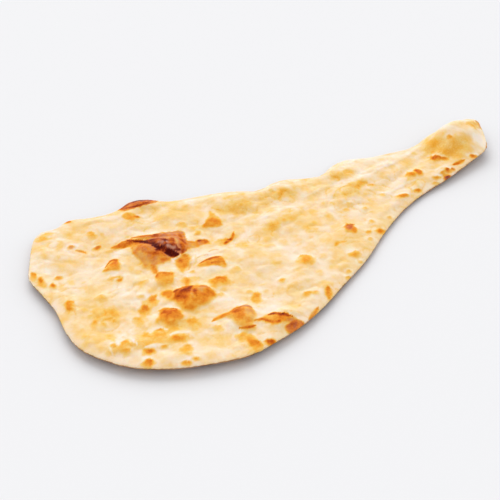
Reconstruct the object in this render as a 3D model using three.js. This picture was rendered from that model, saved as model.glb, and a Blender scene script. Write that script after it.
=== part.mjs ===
// A large naan: leavened flat bread, slapped on the wall of a clay oven so that it
// stretches into a tear shape with a broad end and a long thin handle.
//
// The bread is one solid. +X runs along it, from the broad end to the tip of the handle,
// +Z is up, and the origin is under the middle of its box, at table height. All lengths
// are millimetres.

import * as THREE from 'three';
import { ParametricGeometry } from 'three/addons/geometries/ParametricGeometry.js';
import { mergeVertices } from 'three/addons/utils/BufferGeometryUtils.js';

// Edge of the bread, seen from above: the near edge from the broad end to the tip, then
// the far edge back again. The first point is the end of the broad side.
const OUTLINE = [
  [-222, 41], [-218, 18], [-214, -5], [-214, -30], [-210, -50], [-199, -67],
  [-183, -83], [-160, -95], [-134, -102], [-105, -105], [-83, -100], [-59, -92],
  [-35, -80], [-7, -62], [23, -43], [57, -16], [89, 5], [115, 17],
  [145, 26], [176, 37], [201, 48], [211, 64], [218, 80], [222, 92],
  [215, 99], [195, 97], [169, 93], [145, 84], [121, 86], [100, 88],
  [80, 93], [62, 88], [47, 79], [32, 82], [15, 87], [0, 85],
  [-13, 80], [-27, 86], [-42, 90], [-65, 92], [-85, 94], [-97, 98],
  [-109, 104], [-120, 105], [-130, 100], [-144, 97], [-159, 99], [-174, 102],
  [-186, 95], [-198, 95], [-205, 89], [-211, 76], [-217, 58],
];
const TIP_INDEX = 23;

// The sheet of bread.
const NOSE_RADIUS = 1.4;
const CRUMB_THICKNESS = 6.4;
const SHOULDER_WIDTH = 12;

// The edge curls up off the table, more at the broad end, and the handle lifts to its tip.
const CURL_WIDTH = 32;
const CURL_BROAD_END = 5;
const CURL_HANDLE = 1.6;
const CURL_FADE_START = -150;
const CURL_FADE_END = 40;
const HANDLE_LIFT = 7;
const HANDLE_LIFT_START = 105;
const TIP_X = 222;

// Long stretch wrinkles of the handle, which snake a little and fade out in the middle.
const WRINKLE_HEIGHT = 0.7;
const WRINKLE_SPACING = 15;
const WRINKLE_WANDER = 1.6;
const WRINKLE_WANDER_LENGTH = 34;
const WRINKLE_START = 0;
const WRINKLE_FULL = 90;
const HANDLE_SLOPE = THREE.MathUtils.degToRad(17);

// Gentle unevenness of the whole sheet: its height, wavelengths and phase along.
const SWELL_HEIGHT = 0.7;
const SWELL_ALONG = 78;
const SWELL_ACROSS = 97;
const SWELL_PHASE = 1;

// Blisters: x and y of the middle, half length, half width, turn in degrees, rise.
const BLISTERS = [
  // charred ridge and its skirt
  [-122, 36, 36, 17, -10, 8.5], [-127, 24, 24, 18, 0, 3],
  // browned blisters on the broad end
  [-118, -33, 20, 18, 10, 5.5], [-141, -46, 16, 14, 0, 4.5], [-94, -70, 18, 17, 0, 5],
  [-71, -82, 20, 15, -10, 5], [-89, -4, 19, 14, 0, 4.5], [-128, -4, 15, 12, 0, 3.5],
  [-93, -25, 14, 13, 0, 3], [-159, 24, 16, 14, 0, 3.5], [-126, 82, 15, 12, 0, 3.5],
  [-68, 50, 16, 19, 0, 4.5], [-165, -64, 19, 14, 0, 3.5], [-182, -60, 14, 16, 0, 3.5],
  [-145, -68, 17, 12, 0, 3], [-112, 96, 26, 10, -3, 3.5],
  // pale puffs
  [-185, 2, 34, 40, 10, 3.5], [-191, 60, 30, 34, 0, 3], [-149, 72, 34, 24, 0, 3],
  [-91, 68, 30, 24, 0, 3], [-44, 68, 34, 22, -10, 5], [2, 67, 30, 20, 0, 5],
  [59, 71, 28, 15, 0, 5], [59, 44, 34, 17, 28, 5], [-16, 30, 40, 21, 5, 4],
  [-51, -8, 34, 30, 0, 2.5], [-39, -46, 30, 18, 30, 2.5], [13, -14, 34, 20, 30, 2.5],
  [95, 58, 34, 18, 0, 3],
  // handle
  [-23, -31, 14, 11, 0, 3], [29, -8, 11, 13, 20, 3], [121, 40, 16, 11, 15, 3],
  [151, 52, 14, 10, 15, 3], [137, 29, 14, 8, 25, 2.5], [182, 74, 42, 29, 25, 13],
];

// Small blisters, scattered in a spiral over the broad end and the middle. Each is its mean
// size, give or take the variety.
const SMALL_BLISTER_COUNT = 150;
const SMALL_BLISTER_CENTRE_X = -70;
const SMALL_BLISTER_SPREAD = 15.5;
const SMALL_BLISTER_RADIUS = 12;
const SMALL_BLISTER_RISE = 1.3;
const SMALL_BLISTER_MEAN = 0.7;
const SMALL_BLISTER_VARIETY = 0.3;
const SMALL_BLISTER_PHASE = 2.7;
const GOLDEN_ANGLE = Math.PI * (3 - Math.sqrt(5));

// Fineness of the solid.
const STATIONS = 84;
const TOP_STRIPS = 40;
const UNDER_STRIPS = 14;
const EDGE_SAMPLES = 720;

const WELD_DISTANCE = 1e-3;
const FULL_TURN = 2 * Math.PI;

const CRUST_COLOUR = 0xf3d7a4;
const CRUST_ROUGHNESS = 0.7;

const outlineCurve = new THREE.CatmullRomCurve3(
  OUTLINE.map(([x, y]) => new THREE.Vector3(x, y, 0)),
  true,
  'centripetal',
);

// The near and far edges, both from the broad end to the tip, as evenly stepped points.
function edgeCurve(fromIndex, toIndex) {
  const points = [];
  for (let i = 0; i <= EDGE_SAMPLES; i += 1) {
    const index = THREE.MathUtils.lerp(fromIndex, toIndex, i / EDGE_SAMPLES);
    points.push(outlineCurve.getPoint(index / OUTLINE.length));
  }
  const edge = new THREE.CurvePath();
  points.slice(1).forEach((point, i) => edge.add(new THREE.LineCurve3(points[i], point)));
  return { edge, points };
}

const nearEdge = edgeCurve(0, TIP_INDEX);
const farEdge = edgeCurve(OUTLINE.length, TIP_INDEX);
const edgePoints = [...nearEdge.points, ...farEdge.points];

function distanceToEdge(x, y) {
  let nearest = Infinity;
  for (const point of edgePoints) {
    nearest = Math.min(nearest, Math.hypot(point.x - x, point.y - y));
  }
  return nearest;
}

// Height of the underside over the table: nothing in the middle, the curl at the edge.
function undersideLift(x, inset) {
  const curl = THREE.MathUtils.lerp(
    CURL_BROAD_END,
    CURL_HANDLE,
    THREE.MathUtils.smoothstep(x, CURL_FADE_START, CURL_FADE_END),
  );
  const atEdge = 1 - THREE.MathUtils.smoothstep(inset, 0, CURL_WIDTH);
  const alongHandle = THREE.MathUtils.smoothstep(x, HANDLE_LIFT_START, TIP_X);
  return curl * atEdge * atEdge + HANDLE_LIFT * alongHandle;
}

function roundNose(inset) {
  const fromRim = 1 - Math.min(inset / NOSE_RADIUS, 1);
  return NOSE_RADIUS * Math.sqrt(1 - fromRim * fromRim);
}

// A dome that meets the sheet without a crease.
function dome(x, y, [middleX, middleY, halfLength, halfWidth, turn, rise]) {
  const angle = THREE.MathUtils.degToRad(turn);
  const along = (x - middleX) * Math.cos(angle) + (y - middleY) * Math.sin(angle);
  const across = (y - middleY) * Math.cos(angle) - (x - middleX) * Math.sin(angle);
  const spread = (along / halfLength) ** 2 + (across / halfWidth) ** 2;
  return spread < 1 ? rise * (1 - spread) ** 2 : 0;
}

function smallBlisters() {
  const blisters = [];
  for (let i = 0; i < SMALL_BLISTER_COUNT; i += 1) {
    const radius = SMALL_BLISTER_SPREAD * Math.sqrt(i + 0.5);
    const angle = i * GOLDEN_ANGLE;
    const swell = SMALL_BLISTER_MEAN + SMALL_BLISTER_VARIETY * Math.sin(i * SMALL_BLISTER_PHASE);
    const size = SMALL_BLISTER_RADIUS * swell;
    const middleX = SMALL_BLISTER_CENTRE_X + radius * Math.cos(angle);
    const middleY = radius * Math.sin(angle);
    blisters.push([middleX, middleY, size, size, 0, SMALL_BLISTER_RISE * swell]);
  }
  return blisters;
}

const allBlisters = [...BLISTERS, ...smallBlisters()];

function reliefHeight(x, y) {
  const acrossHandle = y * Math.cos(HANDLE_SLOPE) - x * Math.sin(HANDLE_SLOPE);
  const wander = WRINKLE_WANDER * Math.sin(x / WRINKLE_WANDER_LENGTH);
  const wrinkle = Math.sin((FULL_TURN * acrossHandle) / WRINKLE_SPACING + wander);
  const stretched = THREE.MathUtils.smoothstep(x, WRINKLE_START, WRINKLE_FULL);
  const swellAlong = Math.sin((FULL_TURN * x) / SWELL_ALONG + SWELL_PHASE);
  const swell = swellAlong * Math.cos((FULL_TURN * y) / SWELL_ACROSS);
  const domes = allBlisters.reduce((sum, blister) => sum + dome(x, y, blister), 0);
  return domes + WRINKLE_HEIGHT * wrinkle * stretched + SWELL_HEIGHT * swell;
}

function undersideHeight(x, y, inset) {
  return undersideLift(x, inset) + NOSE_RADIUS - roundNose(inset);
}

function topHeight(x, y, inset) {
  const shoulder = THREE.MathUtils.smoothstep(inset, 0, SHOULDER_WIDTH);
  const crumb = (CRUMB_THICKNESS - 2 * NOSE_RADIUS + reliefHeight(x, y)) * shoulder;
  return undersideLift(x, inset) + NOSE_RADIUS + roundNose(inset) + crumb;
}

// Steps that crowd towards both ends, where the rim turns over.
function crowdedToEnds(t) {
  return (1 - Math.cos(Math.PI * t)) / 2;
}

const TOP_SHARE = TOP_STRIPS / (TOP_STRIPS + UNDER_STRIPS);

// A point of the skin: around runs over the top from the far edge to the near one and back
// underneath, and along runs from the broad end to the tip.
function skinPoint(around, along, target) {
  const station = crowdedToEnds(along);
  const near = nearEdge.edge.getPointAt(station);
  const far = farEdge.edge.getPointAt(station);
  const onTop = around <= TOP_SHARE;
  const strip = onTop ? around / TOP_SHARE : (1 - around) / (1 - TOP_SHARE);
  const across = crowdedToEnds(strip);
  const x = THREE.MathUtils.lerp(far.x, near.x, across);
  const y = THREE.MathUtils.lerp(far.y, near.y, across);
  const onRim = across === 0 || across === 1 || along === 0 || along === 1;
  const inset = onRim ? 0 : distanceToEdge(x, y);
  target.set(x, y, onTop ? topHeight(x, y, inset) : undersideHeight(x, y, inset));
}

// Joins the seams and drops the triangles that shrink to nothing at the two ends.
function sealed(surface) {
  surface.deleteAttribute('normal');
  surface.deleteAttribute('uv');
  const merged = mergeVertices(surface, WELD_DISTANCE);
  const kept = [];
  const index = merged.getIndex();
  for (let i = 0; i < index.count; i += 3) {
    const [a, b, c] = [index.getX(i), index.getX(i + 1), index.getX(i + 2)];
    if (a !== b && b !== c && c !== a) kept.push(a, b, c);
  }
  merged.setIndex(kept);
  return merged;
}

function naanGeometry() {
  const surface = new ParametricGeometry(skinPoint, TOP_STRIPS + UNDER_STRIPS, STATIONS);
  const skin = sealed(surface);
  skin.computeBoundingBox();
  const middle = skin.boundingBox.getCenter(new THREE.Vector3());
  skin.translate(-middle.x, -middle.y, -skin.boundingBox.min.z);
  skin.computeVertexNormals();
  return skin;
}

const crust = new THREE.MeshStandardMaterial({
  color: CRUST_COLOUR,
  roughness: CRUST_ROUGHNESS,
  metalness: 0,
});

const naan = new THREE.Mesh(naanGeometry(), crust);
naan.name = 'naan';

const bread = new THREE.Group();
bread.add(naan);

export default bread;
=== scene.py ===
"""A large naan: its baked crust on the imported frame, on a pale table in soft studio light.

+X runs along the bread from the broad end to the tip of the handle, +Y towards the scalloped
long edge and +Z up. Lengths in the tables are millimetres, and Blender's are metres.
"""

import logging
import math
from collections.abc import Callable
from dataclasses import dataclass, field
from enum import Enum

import bmesh
import bpy
import numpy as np
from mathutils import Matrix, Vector, kdtree, noise


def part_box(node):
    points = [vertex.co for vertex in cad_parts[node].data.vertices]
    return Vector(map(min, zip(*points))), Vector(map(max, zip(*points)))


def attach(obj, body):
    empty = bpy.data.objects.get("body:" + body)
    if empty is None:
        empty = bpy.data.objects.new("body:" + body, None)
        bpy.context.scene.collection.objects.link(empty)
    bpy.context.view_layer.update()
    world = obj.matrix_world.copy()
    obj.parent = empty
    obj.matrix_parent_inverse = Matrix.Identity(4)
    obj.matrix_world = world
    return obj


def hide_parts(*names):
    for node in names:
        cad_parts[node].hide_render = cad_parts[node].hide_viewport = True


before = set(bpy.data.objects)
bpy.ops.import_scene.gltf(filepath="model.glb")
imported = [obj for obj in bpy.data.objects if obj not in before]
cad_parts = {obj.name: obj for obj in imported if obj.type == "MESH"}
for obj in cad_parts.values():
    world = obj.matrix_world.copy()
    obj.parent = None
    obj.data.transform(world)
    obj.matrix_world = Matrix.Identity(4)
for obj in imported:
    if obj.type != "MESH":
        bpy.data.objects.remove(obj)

logging.basicConfig(level=logging.INFO, format="%(levelname)s %(message)s")
log = logging.getLogger("naan")

MM = 0.001
# How high the flat crumb lies above the table.
CRUMB_PLANE = 7.0
# The serving side looks 25 degrees round from +Y towards +X, and 37 degrees down.
SIGHT_HEADING = math.radians(25.0)
SIGHT_FALL = math.radians(37.0)
AWAY = np.array([math.sin(SIGHT_HEADING), math.cos(SIGHT_HEADING)])
# Steps of a smooth line from one of its knots to the next.
STEPS_PER_KNOT = 8
# How far each seed shifts a pattern in x, y and z.
SEED_STEP = (17.3, 9.1, 5.7)

# A spot: its reach, as a share of its half size and in millimetres past that.
SPOT_REACH = (2.6, 3.0)
# Millimetres that its cover, apron, painted highlight rim and blister add to its half sizes.
COVER_MORE, APRON_MORE, RIM_MORE, BLISTER_MORE = 0.4, 0.6, 1.2, 2.2
# How much crisper it is on its far side, and how much paler at its outline.
CRISPER, PALER = 0.55, 0.1
# Length times width that makes its apron fully golden, and where that fades out and away.
# The apron is partly browning and partly painted shade on the near slope of a blister.
APRON_SIZE, APRON_OUT, APRON_AWAY = 12.0, (0.9, 2.0), (-0.2, 0.8)
# Where its painted highlight rim begins and ends, grows away, and its share on the near side.
RIM_BEGINS, RIM_ENDS, RIM_AWAY, RIM_NEAR = (0.8, 1.15), (1.2, 1.9), (-0.3, 0.6), 0.4
# Where a blush fades out, and how blunt the dome of a blister is.
BLUSH_FADES, DOME = (0.2, 1.4), 1.3
# A streak: its reach in widths or slopes, how far its outline wanders, and where it fades.
STREAK_REACH, STREAK_RAGGED, STREAK_FADES = 3.0, 0.3, (0.25, 1.5)
# A patch: its reach as a share of its soft edge and in millimetres, where that edge starts
# and ends, how far outside its bulge starts, and how far the bulge takes to rise.
PATCH_REACH, PATCH_EDGE, BULGE_STARTS, BULGE_WIDTH = (2.0, 3.0), (-0.4, 0.6), 1.5, 7.0

Array = np.ndarray
Socket = bpy.types.NodeSocket
Tree = bpy.types.NodeTree
Path = tuple[tuple[float, float], ...]
Bounds = tuple[float, float]


def linear(colour: str) -> tuple[float, float, float, float]:
    """Turns an sRGB hex colour into the linear values that Blender works in.

    Args:
        colour: Six hex digits after a hash, such as "#f3d7a4".

    Returns:
        Linear red, green and blue, and full opacity.
    """
    channels = (int(colour[i:i + 2], 16) / 255 for i in (1, 3, 5))
    red, green, blue = (
        c / 12.92 if c <= 0.04045 else ((c + 0.055) / 1.055) ** 2.4 for c in channels
    )
    return red, green, blue, 1.0


def add_node(
    tree: Tree, kind: str, inputs: dict | None = None, **settings: str
) -> bpy.types.Node:
    """Adds one node with its settings, its socket values and its links.

    Args:
        tree: The node tree that gets the node.
        kind: Blender's name for the node type.
        inputs: For each input, by name or number, a socket to link or a value to set.
        **settings: Properties of the node itself.

    Returns:
        The new node.
    """
    node = tree.nodes.new(kind)
    for name, value in settings.items():
        setattr(node, name, value)
    for key, value in (inputs or {}).items():
        if isinstance(value, Socket):
            tree.links.new(value, node.inputs[key])
        else:
            node.inputs[key].default_value = value
    return node


def ease(low: float | Array, high: float | Array, values: Array) -> Array:
    """Rises smoothly from 0 to 1 as the values pass from low to high."""
    t = np.clip((values - low) / (high - low), 0.0, 1.0)
    return t * t * (3.0 - 2.0 * t)


@dataclass(frozen=True)
class Pattern:
    """Smooth unevenness between about -1 and 1.

    size is how many millimetres it takes to change, seed picks another part of the pattern, and
    a stretch below 1 draws it out along the bread.
    """

    size: float
    seed: int
    stretch: float = 1.0

    def at(self, points: Array) -> Array:
        """Gives the unevenness at each point.

        Args:
            points: One row for each point, in millimetres, with two or three columns.

        Returns:
            One value for each point.
        """
        shift = Vector([self.seed * step for step in SEED_STEP])
        padded = np.zeros((len(points), 3))
        padded[:, : points.shape[1]] = points
        padded[:, 0] *= self.stretch
        return np.array([noise.noise(Vector(p) / self.size + shift) for p in padded.tolist()])


def as_seen(points: Array) -> Array:
    """Slides points along the sight line on to the flat crumb, where their marks are laid out."""
    slide = (points[:, 2:3] - CRUMB_PLANE) / math.tan(SIGHT_FALL)
    return points[:, :2] + slide * AWAY


def smooth_line(path: Path, closed: bool) -> Array:
    """Runs a smooth curve through a few places.

    Args:
        path: The places that it passes, in millimetres.
        closed: Whether it comes back to its first place.

    Returns:
        x and y of places close together along the curve.
    """
    knots = np.array(path, float)
    if closed:
        ends = np.vstack([knots[-1:], knots, knots[:2]])
    else:
        ends = np.vstack([2 * knots[:1] - knots[1:2], knots, 2 * knots[-1:] - knots[-2:-1]])
    t = (np.arange(STEPS_PER_KNOT) / STEPS_PER_KNOT)[:, None]
    stretches = []
    for before, here, after, beyond in zip(ends, ends[1:], ends[2:], ends[3:]):
        pull = (after - before) * t
        bend = (2 * before - 5 * here + 4 * after - beyond) * t ** 2
        settle = (3 * here - before - 3 * after + beyond) * t ** 3
        stretches.append((2 * here + pull + bend + settle) / 2)
    return np.vstack([*stretches, ends[-2:-1]])


def from_line(line: Array, places: Array) -> tuple[Array, Array]:
    """Finds how far each place is from a line, and how far along it.

    Args:
        line: x and y of places close together along the line.
        places: x and y of each place to measure, in millimetres.

    Returns:
        The distance in millimetres, above nothing on the left of the line, and the share of
        the line that lies before the nearest point.
    """
    best = np.full(len(places), np.inf)
    side = np.ones(len(places))
    share = np.zeros(len(places))
    for i, (start, stop) in enumerate(zip(line[:-1], line[1:])):
        step = stop - start
        from_start = places - start
        t = np.clip(from_start @ step / (step @ step), 0.0, 1.0)
        gap = np.linalg.norm(from_start - t[:, None] * step, axis=1)
        closer = gap < best
        best[closer] = gap[closer]
        turn = step[0] * from_start[:, 1] - step[1] * from_start[:, 0]
        side[closer] = np.where(turn[closer] < 0.0, -1.0, 1.0)
        share[closer] = (i + t[closer]) / (len(line) - 1)
    return best * side, share


@dataclass(frozen=True)
class Mark:
    """A mark on the crust. Each kind of mark adds what it has to these plain answers.

    places are x and y in millimetres, and wander is how ragged the outlines are there.
    """

    def box(self) -> tuple[Array, Array]:
        """Gives the lowest and highest x and y that the mark reaches."""
        raise NotImplementedError

    def close(self, places: Array) -> Array:
        """Finds the numbers of the places that the mark can reach."""
        low, high = self.box()
        return np.flatnonzero(np.all((places > low) & (places < high), axis=1))

    def cover(self, places: Array, wander: Array) -> Array:
        """Gives how far the mark covers each place, from 0 to 1."""
        raise NotImplementedError

    def shade(self, places: Array, wander: Array) -> Array:
        """Gives the bake that the mark lays on each place."""
        raise NotImplementedError

    def apron(self, places: Array, wander: Array) -> Array:
        """Gives the golden bake around the mark, partly painted shade."""
        return np.zeros(len(places))

    def highlight_rim(self, places: Array, wander: Array) -> Array:
        """Gives the painted highlight rim around the mark."""
        return np.zeros(len(places))

    def swelling(self, places: Array) -> Array:
        """Gives how far the crust stands up under the mark, in millimetres."""
        return np.zeros(len(places))


@dataclass(frozen=True)
class Spot(Mark):
    """A browned spot on the crown of a blister.

    Its sizes are half its length and half its width, turned by turn degrees. bake is how dark
    it is, rise is how far the blister under it stands up, crest is how much more its far side
    is baked than its near side, edge is how soft its outline is, and ragged is how far the
    outline wanders. A golden apron with the bake spill spreads from its near side: partly
    browning, partly painted shade on the slope that faces away from the back light. Its far side
    has a painted highlight rim, and ash_and_sheen is how much ashen bloom and painted sheen it
    has.
    """

    x: float
    y: float
    length: float
    width: float
    bake: float
    turn: float = 0.0
    rise: float = 0.55
    crest: float = 0.14
    edge: float = 0.62
    ragged: float = 0.45
    spill: float = 0.27
    ash_and_sheen: float = 0.0

    def box(self) -> tuple[Array, Array]:
        """Gives the lowest and highest x and y that the spot and its rim reach."""
        reach = SPOT_REACH[0] * max(self.length, self.width) + SPOT_REACH[1]
        return np.array([self.x, self.y]) - reach, np.array([self.x, self.y]) + reach

    def spread(self, places: Array, wander: Array, more: float) -> tuple[Array, Array]:
        """Measures how far out each place lies from the middle of the spot.

        Args:
            places: x and y of each place in millimetres.
            wander: Unevenness of each place, for a ragged outline.
            more: Millimetres added to both half sizes.

        Returns:
            The distance as a share of the spot's half size, and how far towards its far side
            it lies, from -1 to 1.
        """
        angle = math.radians(self.turn)
        from_middle = places - np.array([[self.x, self.y]])
        along = from_middle @ np.array([math.cos(angle), math.sin(angle)])
        across = from_middle @ np.array([-math.sin(angle), math.cos(angle)])
        out = np.hypot(along / (self.length + more), across / (self.width + more))
        far = from_middle @ AWAY / (min(self.length, self.width) + more)
        return out * (1.0 + self.ragged * wander), np.clip(far, -1.0, 1.0)

    def cover(self, places: Array, wander: Array) -> Array:
        """Gives how far the spot covers each place, with a crisper outline on its far side."""
        out, far = self.spread(places, wander, COVER_MORE)
        soft = self.edge * (1.0 - CRISPER * far)
        return 1.0 - ease(1.0 - soft, 1.0 + soft, out)

    def shade(self, places: Array, wander: Array) -> Array:
        """Gives the bake, which is darkest on the spot's far side and paler at its outline."""
        out, far = self.spread(places, wander, COVER_MORE)
        return self.bake * (1.0 + self.crest * far - PALER * np.clip(out, 0.0, 1.0) ** 2)

    @property
    def gold(self) -> float:
        """Gives the bake of the golden apron, which is paler round a small spot."""
        return self.spill * min(1.0, self.length * self.width / APRON_SIZE)

    def apron(self, places: Array, wander: Array) -> Array:
        """Gives the golden bake on the spot's near side, partly painted shade there."""
        out, far = self.spread(places, wander, APRON_MORE)
        return self.gold * (1.0 - ease(*APRON_OUT, out)) * (1.0 - ease(*APRON_AWAY, far))

    def highlight_rim(self, places: Array, wander: Array) -> Array:
        """Gives the painted highlight rim, from 0 to 1, strongest on the spot's lit far side."""
        out, far = self.spread(places, wander, RIM_MORE)
        ring = ease(*RIM_BEGINS, out) * (1.0 - ease(*RIM_ENDS, out))
        return ring * (RIM_NEAR + (1.0 - RIM_NEAR) * ease(*RIM_AWAY, far))

    def swelling(self, places: Array) -> Array:
        """Gives the height of the blister under the spot in millimetres."""
        out, _ = self.spread(places, np.zeros(len(places)), BLISTER_MORE)
        return self.rise * np.clip(1.0 - out ** 2, 0.0, 1.0) ** DOME

    def blush(self, places: Array, wander: Array) -> Array:
        """Gives the tone that the spot adds where it is only a broad blush."""
        out, _ = self.spread(places, wander, 0.0)
        return self.bake * (1.0 - ease(*BLUSH_FADES, out))


@dataclass(frozen=True)
class Fleck(Spot):
    """A spot inside another mark, which lifts nothing and spreads no gold of its own."""

    rise: float = 0.0
    spill: float = 0.0


@dataclass(frozen=True)
class Streak(Mark):
    """A browned line along a crease or a lip.

    path holds the places that it passes. width is half its width in the middle, and taper is
    the share of it that is gone at both ends. lip is the height of a ridge under it, and a
    crease has a lip below nothing. near and far are how many millimetres the ridge takes to
    fall on its two sides. ash_and_sheen is how much ashen bloom and painted sheen it has.
    """

    path: Path
    width: float
    bake: float
    lip: float = 0.0
    near: float = 2.5
    far: float = 5.0
    taper: float = 0.65
    ash_and_sheen: float = 0.0

    def box(self) -> tuple[Array, Array]:
        """Gives the lowest and highest x and y that the streak and its ridge reach."""
        knots = np.array(self.path)
        reach = STREAK_REACH * max(self.width, self.near, self.far)
        return knots.min(axis=0) - reach, knots.max(axis=0) + reach

    def fullness(self, share: Array) -> Array:
        """Gives the share of the full width that the line has there."""
        return 1.0 - self.taper * (2.0 * share - 1.0) ** 2

    def cover(self, places: Array, wander: Array) -> Array:
        """Gives how far the streak covers each place."""
        gap, share = from_line(smooth_line(self.path, False), places)
        out = np.abs(gap) / (self.width * self.fullness(share)) * (1.0 + STREAK_RAGGED * wander)
        return 1.0 - ease(*STREAK_FADES, out)

    def shade(self, places: Array, wander: Array) -> Array:
        """Gives the streak's one bake."""
        return np.full(len(places), self.bake)

    def swelling(self, places: Array) -> Array:
        """Gives the height of the lip in millimetres, which is below nothing in a crease."""
        gap, share = from_line(smooth_line(self.path, False), places)
        slope = np.where(gap > 0.0, self.far, self.near)
        return self.lip * self.fullness(share) * np.exp(-((gap / slope) ** 2))


@dataclass(frozen=True)
class Patch(Mark):
    """A browned field with an outline of its own, such as the torn skin of a bubble.

    outline holds places round its edge. near and far are its bake on the serving side and on
    the far side, and ash_and_sheen is how much ashen bloom and painted sheen it has. In
    millimetres, soft and sharp are how wide its edge is on those two sides, ragged is how far
    the edge wanders, and rise is its bulge.
    """

    outline: Path
    near: float
    far: float
    soft: float = 5.0
    ragged: float = 1.2
    rise: float = 0.0
    ash_and_sheen: float = 0.0
    sharp: float = 2.2

    def box(self) -> tuple[Array, Array]:
        """Gives the lowest and highest x and y that the field and its edge reach."""
        knots = np.array(self.outline)
        reach = PATCH_REACH[0] * self.soft + PATCH_REACH[1]
        return knots.min(axis=0) - reach, knots.max(axis=0) + reach

    def depth(self, places: Array) -> Array:
        """Measures how far inside the outline places are.

        Args:
            places: x and y of each place in millimetres.

        Returns:
            The distance to the outline in millimetres, below nothing outside it.
        """
        line = smooth_line(self.outline, True)
        gap, _ = from_line(line, places)
        inside = np.zeros(len(places), bool)
        for (x0, y0), (x1, y1) in zip(line[:-1], line[1:]):
            crossed = (y0 > places[:, 1]) != (y1 > places[:, 1])
            if crossed.any():
                x_there = x0 + (places[:, 1] - y0) / (y1 - y0) * (x1 - x0)
                inside ^= crossed & (places[:, 0] < x_there)
        return np.where(inside, np.abs(gap), -np.abs(gap))

    def away(self, places: Array) -> Array:
        """Gives how far towards the field's far side each place is, from 0 to 1."""
        reach = np.array(self.outline) @ AWAY
        return np.clip((places @ AWAY - reach.min()) / (reach.max() - reach.min()), 0.0, 1.0)

    def cover(self, places: Array, wander: Array) -> Array:
        """Gives how far the field covers each place."""
        depth = self.depth(places) + self.ragged * wander
        soft = self.soft + (min(self.sharp, self.soft) - self.soft) * self.away(places)
        return ease(PATCH_EDGE[0] * soft, PATCH_EDGE[1] * soft, depth)

    def shade(self, places: Array, wander: Array) -> Array:
        """Gives the bake, from the field's near side to its far side."""
        return self.near + (self.far - self.near) * self.away(places)

    def swelling(self, places: Array) -> Array:
        """Gives the height of the bulge under the field in millimetres."""
        inwards = np.clip((self.depth(places) + BULGE_STARTS) / BULGE_WIDTH, 0.0, 1.0)
        return self.rise * (1.0 - (1.0 - inwards) ** 2)


# Folds and hollows of the dough in true x and y. The first three are the collapsed bubble,
# whose torn far lip stands over a burnt hollow.
FOLDS = (
    Streak(((-155, 50), (-140, 52), (-126, 50), (-113, 47), (-102, 44)), 5, 0, 3, 2.2, 9),
    Streak(((-133, 44), (-124, 37), (-118, 27), (-112, 18)), 4, 0, -2.6, 4.5, 3),
    Streak(((-104, 44), (-103, 32), (-100, 20)), 3, 0, 1.6, 3, 3.5),
    Streak(((-148, -28), (-133, -26), (-118, -26), (-104, -31)), 3, 0, 1, 3, 6),
    Streak(((-106, -62), (-95, -60), (-85, -66)), 3, 0, 1.2, 3, 6),
    Streak(((-82, -80), (-68, -77), (-58, -82)), 3, 0, 1.5, 2.6, 6),
    Streak(((-102, -2), (-90, 1), (-78, 0)), 3, 0, 0.9, 4, 6),
    Streak(((-107, 10), (-90, 12), (-73, 11), (-66, 0)), 3, 0, 1, 3, 4),
    Streak(((-72, 16), (-62, 20), (-52, 27)), 3, 0, -1.3, 3, 3),
    Streak(((-12, 26), (8, 28), (30, 33)), 3, 0, -0.9, 4, 4),
    Streak(((55, 32), (65, 39), (77, 46)), 3, 0, -1.2, 4, 4),
    Streak(((-56, 60), (-44, 52), (-28, 50), (-12, 54)), 3, 0, -0.9, 4, 4),
    Streak(((-206, 84), (-190, 66), (-170, 56), (-150, 52)), 3, 0, -0.8, 5, 5),
    Streak(((-150, 74), (-128, 70), (-106, 70), (-84, 76)), 3, 0, 0.9, 4, 7),
    Streak(((10, 52), (40, 56), (70, 66), (100, 76)), 3, 0, 0.9, 4, 6),
    Streak(((90, 62), (120, 66), (150, 76)), 3, 0, 0.9, 3, 5),
    Streak(((80, 36), (105, 44), (135, 58)), 3, 0, -0.8, 4, 4),
)

# Thin folds of dough between the blisters, which stayed floury and white, made whiter still as
# painted highlight where their crests face the back light.
FLOUR_AND_HIGHLIGHT_CRESTS = (
    Streak(((-104, 8), (-94, 10), (-84, 10.5), (-75, 5)), 2.4, 0, 0.6),
    Streak(((-104, -3), (-95, -6), (-88, -10), (-83, -16)), 3.6, 0, 0.4),
    Streak(((-130, 11), (-121, 5), (-115, -2)), 3, 0, 0.6),
    Streak(((-98, 41), (-91, 38.5), (-85, 41)), 3.2, 0, 0.5),
    Streak(((-153, 46), (-146, 42), (-141, 35)), 2.6, 0, 0.4),
    Streak(((-90, 20), (-83, 17), (-76, 18)), 2.4, 0.02, 0.4),
    Streak(((-106, -42), (-98, -41), (-92, -46)), 3.2, 0, 0.4),
    Streak(((-128, -52), (-119, -52), (-110, -56)), 3, 0.02, 0.4),
    Streak(((-152, -38), (-158, -41), (-160, -47)), 2.6, 0.02, 0.4),
    Streak(((-118, -62), (-108, -64), (-104, -72)), 2.8, 0, 0.5),
    Streak(((-190, -64), (-189, -55), (-181.5, -50.5), (-174, -54), (-171, -62)), 1.1, 0.04, 0.3),
    Streak(((-160, -53), (-154, -51.5), (-148, -56)), 1.4, 0.03, 0.3),
    Streak(((-148, -62), (-141, -61.5), (-133, -66)), 1.4, 0.03, 0.3),
    Streak(((-168, -66), (-160, -68), (-152, -74)), 1.8, 0.02, 0.3),
    Streak(((-80, -68), (-70, -66), (-60, -71)), 2.6, 0.02, 0.5),
    Streak(((-66, 36), (-56, 38), (-46, 34)), 2.4, 0.02, 0.5),
    Streak(((92, 62), (120, 69), (148, 81), (166, 93)), 2.2, 0.02, 0.5),
    Streak(((20, 76), (50, 82), (84, 84)), 2.4, 0.02, 0.5),
    Streak(((18, 52), (40, 58), (66, 60)), 2, 0.04, 0.4),
    Streak(((-36, 38), (-14, 42), (8, 48)), 2.2, 0.03, 0.4),
    Streak(((84, 26), (100, 32), (118, 35)), 2, 0.03, 0.4),
    Streak(((0, 90), (40, 90), (80, 88), (110, 85), (140, 93), (172, 108)), 4, 0.02),
)
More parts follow.
